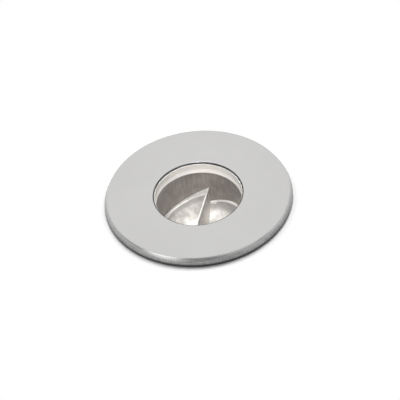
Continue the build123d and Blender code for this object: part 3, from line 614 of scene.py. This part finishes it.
for finish_name, finish_values in plain_finishes.items():
    finishes[finish_name] = plain_part(finish_name, *finish_values).material

slot_of = {part["node"]: part["material_slot"] for part in frame["record"]["subparts"]}
for node_name, node_object in frame["nodes"].items():
    for place in node_object.material_slots:
        place.material = finishes[slot_of[node_name]]


# ---------------------------------------------------------------- ring, bead and collar


def cover_ring():
    """The cover ring: a turned plate with a slightly bulged bevel, a hollow back and a land."""
    bevel_top = (ring_radius - bevel_width, ring_top)
    bevel_foot = (ring_radius, ring_top - bevel_height)
    share = np.linspace(bulge_start, bulge_end, bulge_points)
    bulge = bevel_bulge * 4 * share * (1 - share)
    lean = np.array([bevel_height, bevel_width]) / np.hypot(bevel_height, bevel_width)
    belly = [
        (bevel_foot[0] + (bevel_top[0] - bevel_foot[0]) * s + b * lean[0],
         bevel_foot[1] + (bevel_top[1] - bevel_foot[1]) * s + b * lean[1])
        for s, b in zip(share, bulge)
    ]
    up_to_bevel = [
        (opening_radius, plate_foot, foot_round),
        (recess_radius, plate_foot, foot_round),
        (recess_radius, ring_foot + land_height, foot_round),
        (land_radius, ring_foot + land_height, foot_round / 2),
        (land_radius, ring_foot, foot_round / 2),
        (ring_radius, ring_foot, foot_round),
        (*bevel_foot, edge_round / 2),
    ]
    from_bevel = [
        (*bevel_top, edge_round),
        (opening_radius, ring_top, foot_round / 2),
    ]
    outline = rounded(up_to_bevel + from_bevel)
    per_corner = len(outline) // len(up_to_bevel + from_bevel)
    split_at = len(up_to_bevel) * per_corner
    outline = np.concatenate([outline[:split_at], np.array(belly), outline[split_at:]])
    return turned("cover_ring", outline, "trim", ["trim_ring"], "stainless", ring_segments)


def rubber_bead():
    """The bead: a small rounded section between the ring's mouth and the lens."""
    outline = rounded([
        (bead_inner, bead_top - bead_height, bead_foot_round),
        (bead_outer, bead_top - bead_height, bead_foot_round),
        (bead_outer, bead_top, bead_top_round),
        (bead_inner, bead_top, bead_top_round),
    ], hold=small_hold)
    return turned("rubber_bead", outline, "trim", ["lens_bead"], "black_rubber")


def pale_collar():
    """The collar round the lens: an upright wall with a lip below it and a flange under the frame."""
    outline = rounded([
        (collar_lip_bore, head_top, collar_foot_round),
        (collar_flange_radius, head_top, collar_flange_round),
        (collar_flange_radius, collar_flange_top, collar_flange_round),
        (collar_outer, collar_flange_top, collar_corner_round),
        (collar_outer, collar_top, collar_top_round),
        (collar_bore, collar_top, collar_top_round),
        (collar_bore, lens_foot + collar_lip_rise, collar_slope_round),
        (collar_lip_bore, head_top + collar_lip_edge, collar_lip_round),
    ], hold=small_hold)
    return turned("pale_collar", outline, "lamp", ["lens_collar"], "pale_silicone")


# ---------------------------------------------------------------- stepped reflector


def direction_of(degrees):
    """The unit direction at an angle about the Z axis."""
    return np.array([cos(radians(degrees)), sin(radians(degrees))])


def rim_height(x, y, drop, tilt, facing):
    """Height of a tilted rim, and no more than the tube's top.

    It is the tube's top less the drop, less tan(tilt) times the way out along its facing.
    """
    ahead = direction_of(facing)
    return np.minimum(tube_top - drop - np.tan(radians(tilt)) * (x * ahead[0] + y * ahead[1]), tube_top)


def way_to_circle(start, rays, centre, radius):
    """Distance along each ray, from a start inside a circle, to it: the larger root of a quadratic."""
    offset = np.asarray(start) - np.asarray(centre)
    along = rays @ offset
    return -along + np.sqrt(along**2 - (offset @ offset - radius**2))


def way_to_line(start, rays, origin, normal, beyond, far=1e3):
    """Distance along each ray to the line at a signed distance beyond the origin, or far if not met."""
    here = (np.asarray(start) - origin) @ normal - beyond
    closing = -(rays @ normal)
    return np.where(closing * here > 0, here / np.where(closing == 0, 1, closing), far)


def crossings(origin, along, radius, centre=(0, 0)):
    """The two points where a line meets a circle."""
    offset = np.asarray(origin) - np.asarray(centre)
    b = offset @ along
    root = np.sqrt(b**2 - (offset @ offset - radius**2))
    return [np.asarray(origin) + along * (-b + sign * root) for sign in (-1, 1)]


def rays_from(lamp, corners):
    """Unit rays about a light source: at even angles, and at each corner and close on both its sides."""
    special = np.array([np.arctan2(*(corner - lamp)[::-1]) for corner in corners])
    near = radians(ray_neighbour)
    extra = np.concatenate([special - near, special, special + near])
    even = np.arange(ray_turns) * (2 * pi / ray_turns)
    angle = np.unique(np.round(np.concatenate([even, extra % (2 * pi)]), angle_digits))
    return np.stack([np.cos(angle), np.sin(angle)], axis=1)


def way_to_rim(lamp, rays, bowl, rim, wall_end):
    """Distance along each ray to where the bowl first rises past its rim, or else to its wall."""
    share = np.linspace(0, 1, crossing_samples)[None, :]
    way = aperture_radius + (wall_end[:, None] - aperture_radius) * share
    x, y = lamp[0] + rays[:, :1] * way, lamp[1] + rays[:, 1:] * way
    over = bowl(x, y) - rim(x, y)
    crossed = over > 0
    first = np.argmax(crossed, axis=1)
    some = crossed.any(axis=1) & (first > 0)
    after = np.maximum(first, 1)
    lines = np.arange(len(rays))
    lower, upper = over[lines, after - 1], over[lines, after]
    step = way[lines, after] - way[lines, after - 1]
    met = way[lines, after - 1] + step * (-lower / np.where(upper == lower, 1, upper - lower))
    return np.where(some, met, wall_end)


def reflector_half(lamp, rays, bowl, rim, bowl_end, outer_end, round_off):
    """One half of the reflector as a closed grid of rays about its light source, and each point's zone.

    Along each ray run the aperture, the bowl, the rise to the rim, the rim's land and the outer wall,
    and the grid closes along the underside. bowl(x, y) and rim(x, y) are heights. The lips are
    rounded by quadratic curves.
    """
    def at(distance):
        return lamp[0] + rays[:, :1] * distance, lamp[1] + rays[:, 1:] * distance

    def curve(first, middle, last):
        share = np.linspace(0, 1, curve_steps)[None, :]
        return [
            (1 - share) ** 2 * first[k][:, None] + 2 * share * (1 - share) * middle[k][:, None]
            + share**2 * last[k][:, None]
            for k in (0, 1)
        ]

    def height_at(distance, surface):
        x, y = at(distance[:, None])
        return surface(x, y)[:, 0]

    end = np.minimum(bowl_end, outer_end)
    bowl_height = height_at(end, bowl)
    open_side = bowl_end < outer_end - 1e-6
    lip_height = np.where(open_side, np.maximum(height_at(end, rim), bowl_height), bowl_height)
    rise = lip_height - bowl_height
    outer_height = np.where(open_side, height_at(outer_end, rim), bowl_height)
    blend = joint_rounds * round_off
    joint = end - blend * np.clip(1 - rise / blend, 0, 1)
    joint_height = height_at(joint, bowl)
    steep = rise > round_off
    before_lip = np.where(steep, end, end - round_off)
    before_height = np.where(steep, lip_height - round_off, height_at(end - round_off, bowl))
    land = outer_end - end
    land_step = np.minimum(round_off, land * land_share)
    slope = (outer_height - lip_height) / np.maximum(land, 1e-6)
    after_lip = (end + land_step, lip_height + slope * land_step)
    before_edge = (outer_end - land_step, outer_height - slope * land_step)
    edge_drop = np.minimum(round_off, wall_share * (outer_height - board_top))
    after_edge = (outer_end, outer_height - edge_drop)

    mouth = np.full(len(rays), aperture_radius + mouth_chamfer)
    mouth_way = np.full((len(rays), 2), aperture_radius)
    mouth_rows = np.stack([np.full(len(rays), board_top), height_at(mouth, bowl) - mouth_chamfer], axis=1)
    bowl_share = np.linspace(0, 1, bowl_steps)[None, :] ** bowl_crowding
    bowl_way = mouth[:, None] + (joint[:, None] - aperture_radius - mouth_chamfer) * bowl_share
    bowl_rows = bowl(*at(bowl_way))
    climb = np.linspace(0, 1, climb_steps)[None, 1:-1]
    climb_way = joint[:, None] + (before_lip - joint)[:, None] * climb
    climb_rows = joint_height[:, None] + (before_height - joint_height)[:, None] * climb
    climb_rows = np.where(steep[:, None], climb_rows, bowl(*at(climb_way)))
    lip_way, lip_rows = curve((before_lip, before_height), (end, lip_height), after_lip)
    flat = np.linspace(0, 1, flat_steps)[None, 1:-1]
    flat_way = after_lip[0][:, None] + (before_edge[0] - after_lip[0])[:, None] * flat
    flat_rows = after_lip[1][:, None] + (before_edge[1] - after_lip[1])[:, None] * flat
    edge_way, edge_rows = curve(before_edge, (outer_end, outer_height), after_edge)
    low = np.linspace(0, 1, wall_steps)[None, 1:]
    wall_way = outer_end[:, None] * np.ones_like(low)
    wall_rows = after_edge[1][:, None] + (board_top - after_edge[1])[:, None] * low

    # The bowl's last rows before a lip take the zone that the finish paints darker, as painted shade.
    has_lip = near_lip_zone * open_side[:, None]
    near_lip = np.clip((bowl_share - near_lip_start) / near_lip_width, 0, 1)
    stretches = [
        (mouth_way, mouth_rows, bowl_zone),
        (bowl_way, bowl_rows, near_lip * has_lip),
        (climb_way, climb_rows, has_lip),
        (lip_way, lip_rows, lip_zone),
        (flat_way, flat_rows, lip_zone),
        (edge_way, edge_rows, lip_zone),
        (wall_way, wall_rows, wall_zone),
    ]
    way = np.concatenate([stretch[0] for stretch in stretches], axis=1)
    rows = np.concatenate([stretch[1] for stretch in stretches], axis=1)
    zone = np.concatenate([np.broadcast_to(stretch[2], stretch[1].shape) for stretch in stretches], axis=1)
    x, y = at(way)
    return np.stack([x, y, rows], axis=-1), zone


def stepped_reflector():
    """The reflector: a high bowl with a tilted rim and a fin, and a low bowl beyond the step."""
    along = direction_of(step_angle)
    normal = direction_of(step_angle + 90)
    origin = direction_of(step_angle - 90) * step_offset
    fin_origin = origin + normal * fin_thickness

    # The high bowl is a paraboloid whose tilted rim is a true circle in plan
    slope = np.tan(radians(high_rim_tilt))
    rim_centre = direction_of(high_bowl_rim_angle) * high_bowl_rim_out
    rim_radius = reflector_radius - high_bowl_rim_out - high_bowl_rim_edge
    fall = slope * high_bowl_rim_out * cos(radians(high_bowl_rim_angle - high_rim_facing))
    rise = tube_top - high_rim_drop - fall - bowl_floor
    curvature = (rise + (rise**2 - (slope * rim_radius) ** 2) ** 0.5) / (2 * rim_radius**2)
    lamp = rim_centre + direction_of(high_rim_facing) * slope / (2 * curvature)

    def high_bowl(x, y):
        return bowl_floor + curvature * ((x - lamp[0]) ** 2 + (y - lamp[1]) ** 2)

    def high_rim(x, y):
        return rim_height(x, y, high_rim_drop, high_rim_tilt, high_rim_facing)

    corners = crossings(fin_origin, along, reflector_radius) + crossings(origin, along, reflector_radius)
    corners += crossings(fin_origin, along, rim_radius, rim_centre)
    rays = rays_from(lamp, corners)
    outer_end = np.minimum(
        way_to_circle(lamp, rays, (0, 0), reflector_radius),
        way_to_line(lamp, rays, origin, normal, 0.0),
    )
    bowl_end = np.minimum(
        way_to_circle(lamp, rays, rim_centre, rim_radius),
        way_to_line(lamp, rays, origin, normal, fin_thickness),
    )
    high, high_zone = reflector_half(lamp, rays, high_bowl, high_rim, bowl_end, outer_end, lip_round)

    # The low bowl is half an ellipsoid about the Z axis, with an upright wall above it
    lamp_two = np.array(low_lamp)
    spring = bowl_floor + low_bowl_depth

    def low_bowl(x, y):
        out = np.clip((x**2 + y**2) / low_bowl_radius**2, 0, 1)
        return spring - low_bowl_depth * np.sqrt(1 - out)

    def low_rim(x, y):
        return rim_height(x, y, low_rim_drop, low_rim_tilt, low_rim_facing)

    corners = crossings(origin, along, reflector_radius) + crossings(origin, along, low_bowl_radius)
    rays = rays_from(lamp_two, corners)
    outer_end = np.minimum(
        way_to_circle(lamp_two, rays, (0, 0), reflector_radius),
        way_to_line(lamp_two, rays, origin, normal, step_overlap),
    )
    wall_end = np.minimum(way_to_circle(lamp_two, rays, (0, 0), low_bowl_radius), outer_end)
    bowl_end = way_to_rim(lamp_two, rays, low_bowl, low_rim, wall_end)
    low, low_zone = reflector_half(lamp_two, rays, low_bowl, low_rim, bowl_end, outer_end, lip_round)

    count = high.shape[1]
    points = np.concatenate([high.reshape(-1, 3), low.reshape(-1, 3)])
    faces = np.concatenate([
        closed_grid_faces(high.shape[0], count, 0, flipped=True),
        closed_grid_faces(low.shape[0], count, high.shape[0] * count, flipped=True),
    ])
    piece = mesh_piece(
        "stepped_reflector", points, faces.tolist(), "optic", ["reflector"], "bright_reflector"
    )
    zone = piece.data.attributes.new("lip_zone", "FLOAT", "POINT")
    zone.data.foreach_set("value", np.concatenate([high_zone.ravel(), low_zone.ravel()]).astype(np.float32))
    return piece


cover_ring()
rubber_bead()
pale_collar()
stepped_reflector()


# ---------------------------------------------------------------- camera, ground and light


def heading(azimuth, elevation):
    """The unit vector towards an azimuth and an elevation."""
    a, e = radians(azimuth), radians(elevation)
    return Vector((cos(a) * cos(e), sin(a) * cos(e), sin(e)))


def photo_camera():
    """The camera of the photograph: far off and long, above the near side and slightly rolled."""
    back = Vector((0, -cos(camera_elevation), sin(camera_elevation)))
    level = Vector((1, 0, 0))
    upright = Vector((0, sin(camera_elevation), cos(camera_elevation)))
    right = level * cos(camera_roll) - upright * sin(camera_roll)
    up = level * sin(camera_roll) + upright * cos(camera_roll)
    aim = Vector((0, 0, ring_top * mm)) + right * aim_right * mm - up * aim_down * mm
    camera_data = bpy.data.cameras.new("camera")
    camera_data.lens = camera_lens
    camera_data.sensor_width = sensor_width
    camera = placed("camera", camera_data)
    facing = Matrix((right, up, back)).transposed().to_4x4()
    camera.matrix_world = Matrix.Translation(aim + back * camera_distance) @ facing
    bpy.context.scene.camera = camera


def white_ground():
    """White top that clips to white where it is lit and keeps the ring's shadow."""
    made = Finish("white_ground", (0.95, 0.95, 0.95), 0.9)
    made.shader.inputs["Specular IOR Level"].default_value = 0.0
    return made.material


def slab_sides():
    """Sawn grey stone on the slab's sides and underside."""
    return plain_part("slab_sides", (0.3, 0.3, 0.29), (0.42, 0.42, 0.41), 0.85, 0.05, 900.0, 0.1).material


def paving_slab():
    """The ground round the ring: a slab with a round hole, long towards the near side.

    Its outline is a run with round ends: along each direction from the Z axis it reaches the far
    end's circle, one of the two straight sides, or the near end's circle. Its edge is undercut. It
    hides the buried sleeve from the photograph's side, as the ground does.
    """
    angle = np.arange(slab_segments) * (2 * pi / slab_segments)
    ray = np.stack([np.cos(angle), np.sin(angle)], axis=1)
    to_side = slab_half_width / np.maximum(np.abs(ray[:, 0]), 1e-9)
    inward = -slab_run * ray[:, 1]
    to_end = inward + np.sqrt(np.maximum(inward**2 - slab_run**2 + slab_half_width**2, 0))
    near_side = np.where(to_side * ray[:, 1] >= -slab_run, to_side, to_end)
    reach = np.where(ray[:, 1] >= 0, slab_half_width, near_side)[:, None]
    top = ring_foot - slab_sink
    foot = top - slab_thickness
    rings = [(slab_hole, top), (reach, top), (reach - slab_undercut, foot), (slab_hole, foot)]
    points = np.concatenate(
        [np.column_stack([ray * way, np.full(slab_segments, height)]) for way, height in rings]
    )
    faces = closed_grid_faces(len(rings), slab_segments)
    mesh = bpy.data.meshes.new("paving_slab")
    mesh.from_pydata((points * mm).tolist(), [], faces.tolist())
    mesh.materials.append(white_ground())
    mesh.materials.append(slab_sides())
    sides = (np.arange(len(faces)) >= slab_segments).astype(np.int32)
    mesh.polygons.foreach_set("material_index", sides)
    slab = placed("paving_slab", mesh)


def studio_world():
    """A soft studio: a sky that is paler high up, with soft panels in it, over a white floor.

    What metal and glass mirror is the full studio. Plain surfaces get a share of it, as fill.
    """
    world = bpy.data.worlds.new("studio")
    bpy.context.scene.world = world
    world.use_nodes = True
    world.node_tree.nodes.clear()
    made = Calls(world.node_tree)
    nodes, links = made.nodes, made.links
    direction = nodes.new("ShaderNodeTexCoord").outputs["Generated"]

    def panel(azimuth, elevation, inner, outer, level):
        """A soft round panel of light at a direction, between two angles from its middle."""
        product = nodes.new("ShaderNodeVectorMath")
        product.operation = "DOT_PRODUCT"
        links.new(direction, product.inputs[0])
        product.inputs[1].default_value = heading(azimuth, elevation)
        return made.spread(product.outputs["Value"], cos(radians(outer)), cos(radians(inner)), 0.0, level)

    split = nodes.new("ShaderNodeSeparateXYZ")
    links.new(direction, split.inputs[0])
    z = split.outputs["Z"]
    sky = made.spread(z, sin(radians(sky_rise[0])), sin(radians(sky_rise[1])), *sky_levels)
    for values in sky_panels:
        sky = made.math("ADD", sky, panel(*values))
    path = nodes.new("ShaderNodeLightPath").outputs
    mirrored = made.math("MAXIMUM", path["Is Glossy Ray"], path["Is Transmission Ray"])
    seen = made.math("MAXIMUM", path["Is Camera Ray"], mirrored)
    above = made.math("MULTIPLY", sky, made.spread(seen, 0.0, 1.0, fill_share, 1.0))
    below = made.spread(seen, 0.0, 1.0, floor_share, 1.0)
    under = made.spread(z, sin(radians(horizon[0])), sin(radians(horizon[1])), 1.0, 0.0)
    strength = made.math(
        "ADD",
        made.math("MULTIPLY", above, made.math("SUBTRACT", 1.0, under)),
        made.math("MULTIPLY", below, under),
    )
    background = nodes.new("ShaderNodeBackground")
    background.inputs["Color"].default_value = (1, 1, 1, 1)
    links.new(strength, background.inputs["Strength"])
    output = nodes.new("ShaderNodeOutputWorld")
    links.new(background.outputs[0], output.inputs["Surface"])


def aimed(light, place):
    """Puts a light at a place in metres, facing the middle of the ring's top."""
    place, target = Vector(place), Vector((0, 0, ring_top * mm))
    lamp = placed(light.name, light)
    facing = (place - target).to_track_quat("Z", "Y").to_matrix().to_4x4()
    lamp.matrix_world = Matrix.Translation(place) @ facing
    return lamp


def key_panel(name, azimuth, elevation, level_share):
    """A round soft panel far off; a share of 1 lights level ground as bright as white.

    Metal doesn't mirror it: the studio's own panels give the metal its sheen.
    """
    panel = bpy.data.lights.new(name, "AREA")
    panel.shape = "DISK"
    panel.size = 2 * panel_distance * np.tan(radians(panel_half_angle))
    panel.energy = level_share * pi**2 * panel_distance**2 / sin(radians(elevation))
    aimed(panel, heading(azimuth, elevation) * panel_distance).visible_glossy = False


def well_spot():
    """A soft narrow spot from the near side into the well, which fades out on the ring round it."""
    spot = bpy.data.lights.new("well_spot", "SPOT")
    spot.spot_size = radians(spot_cone)
    spot.spot_blend = spot_blend
    spot.shadow_soft_size = spot_source
    spot.energy = spot_power
    aimed(spot, spot_place)


photo_camera()
paving_slab()
studio_world()
for key_values in key_panels:
    key_panel(*key_values)
well_spot()

bpy.context.scene.view_settings.view_transform = "Standard"
